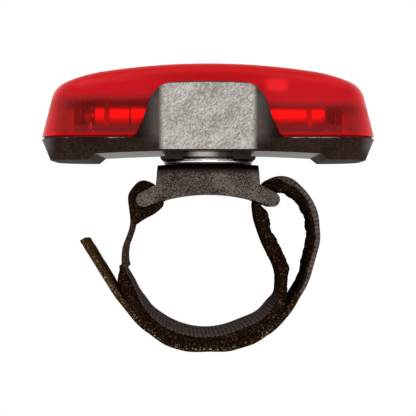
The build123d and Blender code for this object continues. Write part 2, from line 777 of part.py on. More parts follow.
# Battery tray: slotted deck, end walls and ribs that hold the cells from above, posts and screw lugs
tray_length = 2 * (tray_end_x + tray_wall)
rib_foot_half = half_width - lens_wall - (rib_foot_z - lens_base_z) * draft_slope - tray_gap
tray_half_width = half_width - lens_wall - (tray_top_z - lens_base_z) * draft_slope - tray_gap
rib_x = tray_end_x - rib_inset
reflector_length = (led_count - 1) * led_pitch + led_size + 2 * reflector_margin
board_screw_x = reflector_length / 2 + board_screw_head + board_screw_gap
switch_outer_y = tray_half_width - switch_setback
switch_inner_y = switch_outer_y - switch_depth
with BuildPart() as battery_tray:
    with BuildSketch(Plane.XY.offset(tray_top_z - tray_deck_thickness)):
        RectangleRounded(tray_length, 2 * tray_half_width, tray_corner)
    extrude(amount=tray_deck_thickness)
    with BuildSketch(Plane.XY.offset(tongue_bottom_z)):
        RectangleRounded(tray_length, 2 * tray_half_width, tray_corner)
        Rectangle(2 * tray_end_x, 3 * tray_half_width, mode=Mode.SUBTRACT)
    extrude(amount=tray_top_z - tongue_bottom_z)
    for side in (-1, 1):
        with BuildSketch(Plane.YZ.offset(side * rib_x - rib_thickness / 2)):
            Polygon(
                (-rib_foot_half, rib_foot_z),
                (rib_foot_half, rib_foot_z),
                (tray_half_width, tray_top_z),
                (-tray_half_width, tray_top_z),
                align=None,
            )
        extrude(amount=rib_thickness)
    with BuildSketch(Plane.YZ.offset(-tray_end_x)):
        with GridLocations(2 * cell_axis_y, 0, 2, 1):
            with Locations((0, cell_axis_z)):
                Circle(cell_radius + cell_play)
        with Locations((0, cell_axis_z + cusp_rise)):
            Rectangle(2 * cell_axis_y, 2 * cell_radius, align=(Align.CENTER, Align.MAX))
    extrude(amount=2 * tray_end_x, mode=Mode.SUBTRACT)
    with BuildSketch(Plane.XY.offset(tray_top_z)):
        with GridLocations(board_screw_x, 0, 3, 1):
            Circle(post_radius)
    extrude(amount=board_bottom_z - tray_top_z)
    with BuildSketch(Plane.XY.offset(tray_top_z - tray_deck_thickness / 2)):
        with GridLocations(2 * board_screw_x, 0, 2, 1):
            Circle(board_screw_radius)
    extrude(amount=board_bottom_z, mode=Mode.SUBTRACT)
    with BuildSketch(Plane.XY.offset(lug_top_z - lug_thickness)):
        with GridLocations(2 * lug_x, 0, 2, 1):
            Circle(lug_radius)
        with GridLocations(2 * lug_x - lug_radius, 0, 2, 1):
            Rectangle(lug_radius, 2 * lug_radius)
        with GridLocations(2 * lug_x, 0, 2, 1):
            Circle(tray_screw_radius + thread_fit, mode=Mode.SUBTRACT)
    extrude(amount=lug_thickness)
    # Grooves in the end walls: above the lug for the lens's boss, below it for the screw and its driver
    for groove_z, groove_height, groove_radius in (
        (lug_top_z, tray_top_z - lug_top_z, lug_radius + lens_fit),
        (tongue_bottom_z, lug_top_z - lug_thickness - tongue_bottom_z, tray_screw_head + lens_fit),
    ):
        with BuildSketch(Plane.XY.offset(groove_z)):
            with GridLocations(2 * lug_x, 0, 2, 1):
                Circle(groove_radius)
        extrude(amount=groove_height, mode=Mode.SUBTRACT)
    with BuildSketch(Plane.XY.offset(switch_bottom_z - thread_fit)):
        with Locations((0, switch_inner_y - thread_fit)):
            Rectangle(switch_width + 2 * thread_fit, tray_half_width, align=(Align.CENTER, Align.MIN))
    extrude(amount=tray_top_z, mode=Mode.SUBTRACT)

with BuildPart() as tray_screws:
    with BuildSketch(Plane.XY.offset(lug_top_z - lug_thickness)):
        with GridLocations(2 * lug_x, 0, 2, 1):
            Circle(tray_screw_head)
    extrude(amount=-tray_screw_head_height)
    with BuildSketch(Plane.XY.offset(lug_top_z - lug_thickness)):
        with GridLocations(2 * lug_x, 0, 2, 1):
            Circle(tray_screw_radius - thread_fit)
    extrude(amount=lug_thickness + screw_bite - thread_fit)

# Contacts: plates on the tray's end walls, a dimple for each nub and a bowed leaf for each base
plate_face_x = tray_end_x - contact_thickness
contact_foot_z = cell_axis_z - contact_foot_drop
contact_height = contact_foot_drop + contact_top_rise
contact_tab_height = board_bottom_z - contact_tab_drop - contact_foot_z
touch_x = cell_end_x + contact_touch


def contact_plane(end, distance):
    """Upright plane across the light at a distance from the middle, its normal along +X."""
    return Plane(origin=(end * distance, 0, 0), x_dir=(0, 1, 0), z_dir=(1, 0, 0))


def add_dimple(end, cell_y):
    """Adds the dimple that meets a nub to the open contact."""
    with BuildSketch(contact_plane(end, plate_face_x)) as root:
        with Locations((cell_y, cell_axis_z)):
            Circle(nub_radius)
    with BuildSketch(contact_plane(end, touch_x)) as crown:
        with Locations((cell_y, cell_axis_z)):
            Circle(nub_radius / 2)
    loft([root.sketch, crown.sketch], ruled=True)


def add_leaf(end, cell_y):
    """Adds the bowed leaf that presses on a cell's base to the open contact."""
    leaf_x = touch_x + contact_thickness / 2
    foot_x = plate_face_x + contact_thickness / 4
    with BuildSketch(Plane.XZ.offset(-cell_y - leaf_width / 2)) as leaf:
        with BuildLine() as bow:
            ThreePointArc(
                (end * foot_x, cell_axis_z - leaf_half),
                (end * leaf_x, cell_axis_z),
                (end * foot_x, cell_axis_z + leaf_half),
            )
        trace(bow.edges(), line_width=contact_thickness)
    extrude(leaf.sketch, amount=leaf_width)


contacts = {}
for name, side in (("plus_contact", -1), ("minus_contact", 1)):
    with BuildPart() as contact:
        with BuildSketch(contact_plane(-1, tray_end_x)):
            with Locations((side * cell_axis_y, contact_foot_z)):
                Rectangle(contact_width, contact_height, align=(Align.CENTER, Align.MIN))
            with Locations((side * wire_y, contact_foot_z)):
                Rectangle(contact_tab_width, contact_tab_height, align=(Align.CENTER, Align.MIN))
        extrude(amount=contact_thickness)
        if side < 0:
            add_dimple(-1, side * cell_axis_y)
        else:
            add_leaf(-1, side * cell_axis_y)
    contacts[name] = contact.part

with BuildPart() as bridge_contact:
    with BuildSketch(contact_plane(1, tray_end_x)):
        with Locations((0, cell_axis_z)):
            Rectangle(2 * cell_axis_y + contact_width, bridge_height)
    extrude(amount=-contact_thickness)
    add_dimple(1, cell_axis_y)
    add_leaf(1, -cell_axis_y)

# Circuit board with its LEDs, reflector, chip and resistors
board_length = 2 * (board_screw_x + board_end_margin)
with BuildPart() as circuit_board:
    with BuildSketch(Plane.XY.offset(board_bottom_z)):
        RectangleRounded(board_length, board_width, board_corner)
        with GridLocations(2 * board_screw_x, 0, 2, 1):
            Circle(board_screw_radius, mode=Mode.SUBTRACT)
    extrude(amount=board_thickness)

with BuildPart() as leds:
    with BuildSketch(Plane.XY.offset(board_top_z)):
        with GridLocations(led_pitch, 0, led_count, 1):
            RectangleRounded(led_size, led_size, led_corner)
    extrude(amount=led_height)
    with BuildSketch(Plane.XY.offset(board_top_z + led_height)):
        with GridLocations(led_pitch, 0, led_count, 1):
            Circle(led_dome_radius)
    extrude(amount=led_dome_height, taper=led_dome_taper)

with BuildPart() as led_reflector:
    with BuildSketch(Plane.XY.offset(board_top_z)):
        RectangleRounded(reflector_length, reflector_width, board_corner)
    extrude(amount=reflector_height)
    with BuildSketch(Plane.XY.offset(board_top_z)):
        with GridLocations(led_pitch, 0, led_count, 1):
            Circle(reflector_hole_radius)
    extrude(amount=reflector_height, taper=-reflector_flare, mode=Mode.SUBTRACT)

with BuildPart() as board_screws:
    with BuildSketch(Plane.XY.offset(board_top_z)):
        with GridLocations(2 * board_screw_x, 0, 2, 1):
            Circle(board_screw_head)
    extrude(amount=board_screw_head_height)
    with BuildSketch(Plane.XY.offset(board_top_z)):
        with GridLocations(2 * board_screw_x, 0, 2, 1):
            Circle(board_screw_radius - thread_fit)
    extrude(amount=-board_screw_length)

with BuildPart() as control_chip:
    with BuildSketch(Plane.XY.offset(board_bottom_z)):
        with Locations((board_length / 4, 0)):
            Rectangle(chip_size, chip_size)
    extrude(amount=-chip_height)

with BuildPart() as resistors:
    with BuildSketch(Plane.XY.offset(board_bottom_z)):
        with Locations((-board_length / 4, 0)):
            with GridLocations(resistor_pitch, 0, resistor_count, 1):
                Rectangle(resistor_width, resistor_length)
    extrude(amount=-resistor_height)

# Push switch on the tray's far rail, its plunger towards the button's stem and its two pins up to the board
switch_height = switch_top_z - switch_bottom_z
with BuildPart() as push_switch:
    with BuildSketch(Plane.XZ.offset(-switch_outer_y)):
        with Locations((0, switch_bottom_z)):
            Rectangle(switch_width, switch_height, align=(Align.CENTER, Align.MIN))
    extrude(amount=switch_outer_y - switch_inner_y)
    with BuildSketch(Plane.XZ.offset(-plunger_end_y)):
        with Locations((0, plunger_z)):
            Circle(plunger_radius)
    extrude(amount=plunger_end_y - switch_outer_y)
    with BuildSketch(Plane.XZ.offset(-switch_inner_y)):
        with Locations((0, switch_top_z)):
            with GridLocations(switch_width - pin_width, 0, 2, 1):
                Rectangle(pin_width, pin_thickness, align=(Align.CENTER, Align.MAX))
    extrude(amount=switch_inner_y - board_width / 2 + pin_reach)
    with BuildSketch(Plane.XY.offset(switch_top_z)):
        with Locations((0, board_width / 2 - pin_reach)):
            with GridLocations(switch_width - pin_width, 0, 2, 1):
                Rectangle(pin_width, pin_reach, align=(Align.CENTER, Align.MIN))
    extrude(amount=board_bottom_z - switch_top_z)

# Lead wires from the contacts' tabs over the cells to the board's edge
wire_start_z = board_bottom_z - contact_tab_drop - wire_tab_overlap
wires = {}
for name, side in (("lead_wire_plus", -1), ("lead_wire_minus", 1)):
    wire_plane = Plane.XZ.offset(-side * wire_y)
    with BuildPart() as wire:
        with BuildLine(wire_plane) as route:
            FilletPolyline(
                (-plate_face_x, wire_start_z),
                (wire_first_run - plate_face_x, wire_start_z + wire_first_rise),
                (-(plate_face_x + board_length / 2) / 2, board_bottom_z + wire_crest_rise),
                (-board_length / 2, board_bottom_z + wire_radius),
                radius=wire_bends,
            )
        with BuildSketch(Plane(origin=route.line @ 0, z_dir=route.line % 0)):
            Circle(wire_radius)
        sweep()
    wires[name] = wire.part

# Finished pieces
pieces = {
    "saddle": saddle.part,
    "strap_anchor_tape": strap_anchor_tape.part,
    "strap_loop_tape": strap_loop_tape.part,
    "strap_hook_tape": strap_hook_tape.part,
    "turntable": turntable.part,
    "pivot_washer": pivot_washer.part,
    "pivot_screw": pivot_screw.part,
    "rear_housing": rear_housing.part,
    "mount_shoe": mount_shoe.part,
    "shoe_screws": shoe_screws.part,
    "power_button": power_button.part,
    "lens": lens.part,
    "cover_seals": cover_seals.part,
    "battery_tray": battery_tray.part,
    "tray_screws": tray_screws.part,
    "bridge_contact": bridge_contact.part,
    "circuit_board": circuit_board.part,
    "leds": leds.part,
    "led_reflector": led_reflector.part,
    "board_screws": board_screws.part,
    "control_chip": control_chip.part,
    "resistors": resistors.part,
    "push_switch": push_switch.part,
    **cells,
    **contacts,
    **wires,
}
for name, part in pieces.items():
    part.label = name
    export_step(part, f"parts/{name}.step")
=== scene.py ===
import math

import bpy
from mathutils import Matrix, Vector, noise


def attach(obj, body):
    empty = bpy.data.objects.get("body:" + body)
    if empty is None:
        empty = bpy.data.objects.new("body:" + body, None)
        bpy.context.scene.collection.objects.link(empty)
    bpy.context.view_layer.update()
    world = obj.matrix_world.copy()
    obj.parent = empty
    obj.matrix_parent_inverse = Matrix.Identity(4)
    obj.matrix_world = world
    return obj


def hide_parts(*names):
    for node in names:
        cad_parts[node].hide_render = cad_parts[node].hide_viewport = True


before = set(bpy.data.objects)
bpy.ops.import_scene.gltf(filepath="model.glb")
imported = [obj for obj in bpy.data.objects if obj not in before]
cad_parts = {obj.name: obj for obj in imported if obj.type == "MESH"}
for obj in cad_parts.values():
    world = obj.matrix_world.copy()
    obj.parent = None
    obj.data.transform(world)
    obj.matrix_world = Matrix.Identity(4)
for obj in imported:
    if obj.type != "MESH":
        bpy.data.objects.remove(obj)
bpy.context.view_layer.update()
bpy.ops.object.select_all(action="DESELECT")


# Saddle: the part that sits on the helmet and carries everything else. Injection moulded in black nylon with
# a spark-eroded face; its rounded top edge was polished in the mould and is smoother, and it is painted
# darker than the rest as painted shade under the turntable.
class Tone:
    """A value that varies over a surface: sums on it add the nodes that work it out."""

    def __init__(self, finish, socket):
        self.finish = finish
        self.socket = socket

    def beside(self, output):
        """Another output of the node that this value comes from."""
        return Tone(self.finish, self.socket.node.outputs[output])

    def worked(self, operation, first, second):
        return self.finish.add("ShaderNodeMath", {"operation": operation}, {0: first, 1: second})

    def __add__(self, other):
        return self.worked("ADD", self, other)

    def __radd__(self, other):
        return self.worked("ADD", other, self)

    def __sub__(self, other):
        return self.worked("SUBTRACT", self, other)

    def __rsub__(self, other):
        return self.worked("SUBTRACT", other, self)

    def __mul__(self, other):
        return self.worked("MULTIPLY", self, other)

    def __rmul__(self, other):
        return self.worked("MULTIPLY", other, self)

    def __abs__(self):
        return self.worked("ABSOLUTE", self, 0.0)


class Finish:
    """The surface finish of one piece, built up node by node, with all lengths in metres.

    A soft edge is given as a pair: where a change starts and where it is done.
    """

    def __init__(self, name, kind=bpy.data.materials):
        self.owner = kind.new(name)
        self.owner.use_nodes = True
        self.nodes = self.owner.node_tree.nodes
        self.links = self.owner.node_tree.links
        self.nodes.clear()
        self.place = self.add("ShaderNodeTexCoord", output="Object")
        self.along_x = self.add("ShaderNodeSeparateXYZ", sockets={0: self.place}, output="X")
        self.along_y = self.along_x.beside("Y")
        self.along_z = self.along_x.beside("Z")

    def add(self, kind, settings=None, sockets=None, output=0):
        node = self.nodes.new(kind)
        for name, value in (settings or {}).items():
            setattr(node, name, value)
        for name, value in (sockets or {}).items():
            if isinstance(value, Tone):
                self.links.new(value.socket, node.inputs[name])
            else:
                node.inputs[name].default_value = value
        return Tone(self, node.outputs[output] if len(node.outputs) else None)

    def grain(self, size, detail=2.0, rough=0.5, place=None):
        """Cloudy noise whose blotches are about that many metres across, from 0 to 1."""
        sockets = {"Vector": place or self.place, "Scale": 1 / size, "Detail": detail, "Roughness": rough}
        return self.add("ShaderNodeTexNoise", {}, sockets, "Fac")

    def stretched(self, scale, turn=(0.0, 0.0, 0.0), place=None):
        """Object coordinates turned about the axes, then scaled by a factor for each."""
        sockets = {"Vector": place or self.place, "Rotation": turn, "Scale": scale}
        return self.add("ShaderNodeMapping", {}, sockets)

    def distance(self, place):
        """How far a place is from the origin."""
        return self.add("ShaderNodeVectorMath", {"operation": "LENGTH"}, {0: place}, "Value")

    def wave(self, value, length):
        """A wave from -1 to 1 that repeats after that length."""
        return self.add("ShaderNodeMath", {"operation": "SINE"}, {0: value * (2 * math.pi / length)})

    def ramp(self, value, low, high):
        """A soft step from 0 at low to 1 at high."""
        settings = {"interpolation_type": "SMOOTHSTEP"}
        return self.add("ShaderNodeMapRange", settings, {"Value": value, "From Min": low, "From Max": high})

    def drop(self, value, low, high):
        """A soft step from 1 at low to 0 at high."""
        return 1 - self.ramp(value, low, high)

    def band(self, value, rise, fall):
        """1 between two soft edges and 0 outside them."""
        return self.ramp(value, *rise) * self.drop(value, *fall)

    def stops(self, value, places):
        """A value that glides between stops, each a place and the value there, and is level beyond them."""
        total = places[0][1]
        for (before, low), (after, high) in zip(places, places[1:]):
            if high != low:
                total = self.ramp(value, before, after) * (high - low) + total
        return total

    def mixed(self, share, first, second):
        """One colour turning into another as the share goes from 0 to 1."""
        return self.add("ShaderNodeMix", {"data_type": "RGBA"}, {0: share, 6: first, 7: second}, 2)

    def relief(self, height, depth):
        """A normal roughened by a height from 0 to 1 that is worth that depth."""
        return self.add("ShaderNodeBump", {}, {"Height": height, "Distance": depth, "Strength": 1.0})

    def surface(self, colour, roughness, normal=None, **others):
        """The shader itself; the others are named as its sockets are, with underscores for spaces."""
        sockets = {"Base Color": colour, "Roughness": roughness}
        if normal:
            sockets["Normal"] = normal
        sockets.update({name.replace("_", " "): value for name, value in others.items()})
        return self.add("ShaderNodeBsdfPrincipled", {}, sockets)

    def settle(self, shader, output="ShaderNodeOutputMaterial"):
        self.add(output, {}, {"Surface": shader})
        return self.owner


def paint(red, green, blue):
    """A colour as seen on a screen, from 0 to 255, as the linear values that a shader takes."""
    shares = [part / 255 for part in (red, green, blue)]
    return tuple(s / 12.92 if s < 0.04045 else ((s + 0.055) / 1.055) ** 2.4 for s in shares) + (1.0,)


def dress(material, *nodes):
    """Puts a material on CAD nodes that keep their own shape."""
    for node in nodes:
        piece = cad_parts[node]
        if not piece.material_slots:
            piece.data.materials.append(material)
        for place in piece.material_slots:
            place.material = material


spark_size = 0.00019
spark_depth = 0.00006
cloud_size = 0.004
shaded_top_edge = (0.0034, 0.0048)

saddle = Finish("saddle_nylon")
spark = saddle.grain(spark_size, 3.0, 0.6)
speckle = saddle.ramp(spark + 0.35 * saddle.grain(cloud_size), 0.52, 0.92)
stone = saddle.mixed(speckle, paint(30, 18, 13), paint(128, 116, 108))
# The top edge is smoother, and painted darker as painted shade under the turntable.
smooth_shaded_top = saddle.ramp(saddle.along_z, *shaded_top_edge)
saddle_surface = saddle.surface(
    saddle.mixed(smooth_shaded_top, stone, paint(10, 3, 1)),
    0.62 - 0.2 * smooth_shaded_top,
    saddle.relief(spark * (1 - smooth_shaded_top), spark_depth),
    Specular_IOR_Level=0.05,
)
dress(saddle.settle(saddle_surface), "saddle")

# Turntable: a disc with the rail on top and the pivot boss below, turned and polished. It turns on the
# saddle. The disc's rim and the rail's nose carry painted highlights, brightest in the middle, and the rest
# is black.
rim_out = (0.0082, 0.0084)
rim_top = (0.00655, 0.00662)
rim_highlight_end = (0.0044, 0.0066)
nose_foot = (0.0070, 0.0073)
nose_highlight_left = 0.0009
nose_highlight_end = (0.0004, 0.0034)

disc = Finish("turntable_polish")
ring_marks = disc.grain(0.0008, place=disc.stretched((1.0, 1.0, 6.0)))
outer = disc.ramp(disc.distance(disc.stretched((1.0, 1.0, 0.0))), *rim_out)
rim = outer * disc.drop(disc.along_z, *rim_top)
# Painted highlights on the disc's rim and the rail's nose, brightest near the middle.
rim_painted_highlight = disc.drop(abs(disc.along_x), *rim_highlight_end)
rim_highlight_tint = disc.mixed(rim_painted_highlight, paint(70, 60, 56), paint(255, 254, 252))
nose = outer * disc.ramp(disc.along_z, *nose_foot)
nose_painted_highlight = disc.drop(abs(disc.along_x + nose_highlight_left), *nose_highlight_end)
nose_highlight_tint = disc.mixed(nose_painted_highlight, paint(84, 72, 67), paint(232, 228, 224))
disc_tint = disc.mixed(disc.ramp(ring_marks, 0.35, 0.7), paint(20, 12, 9), paint(40, 30, 26))
disc_tint = disc.mixed(rim, disc_tint, rim_highlight_tint)
disc_tint = disc.mixed(nose, disc_tint, nose_highlight_tint)
disc_surface = disc.surface(
    disc_tint,
    0.16 + 0.1 * ring_marks,
    disc.relief(ring_marks, 0.000004),
    Metallic=0.9 * rim,
    Specular_IOR_Level=0.2,
)
dress(disc.settle(disc_surface), "turntable")

# Pivot screw and washer, shoe screws, tray screws and board screws: turned steel, zinc-plated. The plating
# shows fine brush marks and pale, duller patches.
steel = Finish("plated_steel")
brushed = steel.grain(0.0006, 3.0, 0.6, steel.stretched((1.0, 6.0, 1.0)))
patches = steel.ramp(brushed + 0.4 * steel.grain(0.0025), 0.45, 0.95)
plate = steel.mixed(patches, paint(150, 150, 152), paint(206, 206, 204))
steel_surface = steel.surface(plate, 0.22 + 0.2 * brushed, steel.relief(brushed, 0.00001), Metallic=1.0)
plating = steel.settle(steel_surface)
dress(plating, "pivot_washer", "pivot_screw", "shoe_screws", "tray_screws", "board_screws")

# Rear housing: the black ABS tub on two feet with its two side tabs, moulded in one piece. The tabs' flat
# facets are painted silvery grey with slanting streaks, a painted reflection of the front lamp, and their
# flanks carry a painted sheen that fades outwards and upwards. Both ends carry a painted sheen, a painted
# highlight runs along the rim at the seam, broken in places, and a thin painted shade lines the top edge of
# each tab. The roof of the recess between the feet has a gloss coat and a lighter painted sheen.
etch_size = 0.00032
etch_depth = 0.00004

housing = Finish("housing_plastic")
etch = housing.grain(etch_size, 3.0, 0.6)
broad = housing.grain(0.0042)
side = abs(housing.along_y)
reach = abs(housing.along_x)
height = housing.along_z
reach_squared = housing.along_x * housing.along_x
shell = housing.mixed(housing.ramp(etch + 0.4 * broad, 0.5, 0.95), paint(34, 21, 17), paint(60, 46, 40))

# Painted sheen at both ends of the housing.
end_out = (0.0282, 0.0316)
end_up = (0.0066, 0.0092)
end_sheen = housing.ramp(reach, *end_out) * housing.ramp(height, *end_up)
shell = housing.mixed(end_sheen, shell, paint(118, 108, 106))

# Painted sheen on the tabs' flanks, lightest beside the facets, with painted shade outwards and towards the
# top.
flank_up = (0.0088, 0.0112)
flank_out = (0.0146, 0.0156)
flank_sheen_out = (0.0090, 0.0136)
flank_shade_up = (0.0172, 0.0204)
flank_sheen_fade = housing.ramp(reach + 0.0016 * etch, *flank_sheen_out)
flank_sheen_tint = housing.mixed(flank_sheen_fade, paint(92, 84, 80), paint(36, 28, 26))
flank_sheen_tint = housing.mixed(housing.ramp(height, *flank_shade_up), flank_sheen_tint, paint(40, 32, 30))
flank = housing.ramp(height, *flank_up) * housing.drop(reach, *flank_out)
shell = housing.mixed(flank, shell, flank_sheen_tint)

# Painted reflection of the front lamp on the tabs' flat facets: silvery grey with slanting streaks.
facet_side = (0.01434, 0.01444)
facet_out = (0.0084, 0.0096)
facet_up = (0.0081, 0.0084)
facet_fray = 0.0006
slanted = housing.stretched((1.0, 1.0, 1.0), (0.0, 0.8, 0.0))
streak = housing.grain(0.0002, 2.0, 0.6, housing.stretched((0.4, 1.0, 1.0), place=slanted))
dots = housing.grain(0.00013, 2.0, 0.6)
reflection_blotch = housing.grain(0.0030, place=housing.stretched((0.5, 1.0, 1.0), place=slanted))
facet_reflection = housing.ramp(dots * 0.5 + streak * 0.45 + reflection_blotch * 0.2, 0.42, 0.76)
facet_reflection_tint = housing.mixed(facet_reflection, paint(126, 116, 110), paint(222, 219, 213))
facet = housing.ramp(side, *facet_side) * housing.drop(reach + facet_fray * streak, *facet_out)
facet = facet * housing.ramp(height, *facet_up)
shell = housing.mixed(facet, shell, facet_reflection_tint)

# Painted shade in a thin line along the top edge of each tab, under the lens.
tab_top_bow = 4.2
tab_top_up = (0.02052, 0.02078)
tab_top_shade = housing.ramp(height + tab_top_bow * reach_squared, *tab_top_up)
shell = housing.mixed(tab_top_shade, shell, paint(36, 26, 24))

# The roof of the recess has a gloss coat, and is painted lighter as a sheen.
roof_bow = 1.56
roof_from = (0.0078, 0.0080)
roof_to = (0.0082, 0.0083)
roof_side = (0.0128, 0.0131)
roof_out = (0.0206, 0.0212)
roof_gloss_and_sheen = housing.band(height + roof_bow * reach_squared, roof_from, roof_to)
roof_gloss_and_sheen = roof_gloss_and_sheen * housing.drop(side, *roof_side) * housing.drop(reach, *roof_out)
shell = housing.mixed(roof_gloss_and_sheen, shell, housing.mixed(streak, paint(58, 48, 44), paint(84, 74, 70)))

# Painted highlight along the rim at the seam, broken up in places.
seam_highlight_low = (0.01026, 0.01040)
seam_highlight_high = (0.0106, 0.0107)
seam_highlight_side = (0.0132, 0.0136)
seam_highlight_from = (0.0150, 0.0162)
seam_highlight_to = (0.0262, 0.0280)
seam_highlight = housing.band(height, seam_highlight_low, seam_highlight_high) * housing.ramp(side, *seam_highlight_side)
seam_highlight = seam_highlight * housing.band(reach, seam_highlight_from, seam_highlight_to) * housing.ramp(broad + 0.3 * etch, 0.5, 0.75)
shell = housing.mixed(seam_highlight, shell, paint(176, 160, 156))

housing_surface = housing.surface(
    shell,
    0.5 + 0.2 * etch,
    housing.relief(etch * (1 - 0.75 * facet), etch_depth),
    Specular_IOR_Level=0.02,
    Coat_Weight=0.36 * roof_gloss_and_sheen,
    Coat_Roughness=0.2,
)
dress(housing.settle(housing_surface), "rear_housing")

# Mounting shoe: a black nylon channel, moulded and screwed under the housing. It is smoother than the tub,
# with faint marks along the way that the rail slides.
shoe = Finish("shoe_nylon")
rubbed = shoe.grain(0.0009, 3.0, 0.55, shoe.stretched((3.0, 0.5, 3.0)))
shoe_tint = shoe.mixed(shoe.ramp(rubbed, 0.35, 0.75), paint(26, 16, 11), paint(62, 48, 40))
shoe_relief = shoe.relief(rubbed, 0.00002)
shoe_surface = shoe.surface(shoe_tint, 0.4 + 0.25 * rubbed, shoe_relief, Specular_IOR_Level=0.12)
dress(shoe.settle(shoe_surface), "mount_shoe")

# Power button: a soft black rubber cap, moulded with a fine grip pattern of dimples. It sits in the far tab
# and works the switch behind it.
dimples_in_a_metre = 1400.0

button = Finish("button_rubber")
dimple_sockets = {"Vector": button.place, "Scale": dimples_in_a_metre, "Randomness": 0.15}
dimples = button.add("ShaderNodeTexVoronoi", {"feature": "F1"}, dimple_sockets, "Distance")
rubber_tint = button.mixed(button.ramp(dimples, 0.15, 0.55), paint(44, 40, 38), paint(70, 64, 61))
button_surface = button.surface(rubber_tint, 0.7, button.relief(dimples, 0.00006), Specular_IOR_Level=0.3)
dress(button.settle(button_surface), "power_button")

# Battery tray: the grey moulded chassis that holds the cells from above and carries the board on posts. A
# painted highlight lightens its outer faces in a band at the height of the cells' axes, more so in the right
# half.
lit_band_low = (0.0122, 0.0134)
lit_band_high = (0.0150, 0.0164)
lit_band_side = (0.0096, 0.0100)
lit_band_out = (0.0212, 0.0216)
lit_band_right = (0.0, 0.001)

tray = Finish("tray_plastic")
tray_grain = tray.grain(0.0005)
tray_tint = tray.mixed(tray.ramp(tray_grain, 0.3, 0.7), paint(92, 88, 86), paint(124, 120, 116))
# Painted highlight in a band at the height of the cells' axes, stronger on the right.
tray_painted_light = tray.band(tray.along_z, lit_band_low, lit_band_high) * tray.ramp(abs(tray.along_y), *lit_band_side)
tray_painted_light = tray_painted_light * (0.6 + 0.4 * tray.ramp(tray.along_x, *lit_band_right))
tray_painted_light = tray_painted_light * tray.drop(abs(tray.along_x), *lit_band_out)
tray_tint = tray.mixed(tray_painted_light, tray_tint, paint(232, 230, 226))
tray_surface = tray.surface(tray_tint, 0.55, tray.relief(tray_grain, 0.00003), Specular_IOR_Level=0.3)
dress(tray.settle(tray_surface), "battery_tray")

# Two cells: a shrunk jacket with a metallic sheen over a steel can. Each is painted with shade above and
# below the middle of its outer side, which stays pale as a lit band, with a fine dark ring left of the
# middle and bare metal at both ends. They carry no print.
cell_axis_up = 0.01442
shade_away = (0.0011, 0.0025)
shade_side = (0.0062, 0.0070)
ring_from = (-0.01490, -0.01478)
ring_to = (-0.01452, -0.01440)
jacket_end = (0.02135, 0.02145)

for cell_name, outer_side in (("battery_near", -1.0), ("battery_far", 1.0)):
    cell = Finish(cell_name + "_jacket")
    scuffs = cell.grain(0.0016, 3.0, 0.6, cell.stretched((0.3, 1.0, 1.0)))
    rise = abs(cell.along_z - cell_axis_up)
    # Painted shade above and below the middle of the outer side, leaving a lit band.
    cell_painted_shade = cell.ramp(rise + 0.0003 * scuffs, *shade_away) * cell.ramp(outer_side * cell.along_y, *shade_side)
    ring = cell.band(cell.along_x, ring_from, ring_to)
    bare = cell.ramp(abs(cell.along_x), *jacket_end)
    jacket = cell.mixed(cell.ramp(scuffs, 0.3, 0.8), paint(228, 226, 220), paint(248, 246, 242))
    jacket = cell.mixed(cell_painted_shade, jacket, paint(92, 78, 70))
    jacket = cell.mixed(ring * 0.8, jacket, paint(60, 50, 46))
    jacket = cell.mixed(bare, jacket, paint(190, 188, 184))
    cell_surface = cell.surface(jacket, 0.26 + 0.1 * scuffs, cell.relief(scuffs, 0.00002), Metallic=0.9)
    dress(cell.settle(cell_surface), cell_name)

# Contacts: spring steel, pressed, bent and nickel-plated, on the tray's end walls. A painted highlight makes
# the faces that bear on the cells pale and matt in a band at the height of the axes.
contact_light_from = (-0.0236, -0.0233)
contact_light_to = (0.0222, 0.0225)

spring = Finish("nickel_plate")
pressed = spring.grain(0.0007, place=spring.stretched((1.0, 1.0, 5.0)))
# Painted highlight in a band at the height of the cells' axes.
contact_painted_light = spring.band(spring.along_x, contact_light_from, contact_light_to)
contact_painted_light = contact_painted_light * spring.band(spring.along_z, lit_band_low, lit_band_high)
nickel = spring.mixed(spring.ramp(pressed, 0.3, 0.75), paint(96, 90, 82), paint(136, 130, 120))
nickel = spring.mixed(contact_painted_light, nickel, paint(240, 238, 232))
spring_relief = spring.relief(pressed, 0.00001)
spring_surface = spring.surface(nickel, 0.42 + 0.2 * pressed, spring_relief, Metallic=1 - 0.85 * contact_painted_light)
dress(spring.settle(spring_surface), "plus_contact", "minus_contact", "bridge_contact")

# Circuit board: glass-filled laminate under a white solder mask, screwed to the tray's posts. The weave of
# the glass shows faintly through the mask.
board = Finish("board_laminate")
weave_sockets = {
    "Vector": board.place,
    "Scale": 260.0,
    "Mortar Size": 0.03,
    "Brick Width": 0.9,
    "Row Height": 0.4,
}
weave = board.add("ShaderNodeTexBrick", {}, weave_sockets, "Fac")
mask_grain = board.grain(0.001)
mask_tint = board.mixed(board.ramp(mask_grain, 0.3, 0.7), paint(206, 210, 204), paint(228, 230, 224))
mask_tint = board.mixed(weave * 0.6, mask_tint, paint(168, 176, 160))
board_surface = board.surface(mask_tint, 0.35 + 0.1 * mask_grain, board.relief(weave, 0.00003))
dress(board.settle(board_surface), "circuit_board")

# LEDs and reflector: white LED packages with a yellow phosphor face on top, soldered to the board. The
# reflector is a bright white moulded frame with a flared hole for each of them.
phosphor_up = (0.02205, 0.02215)

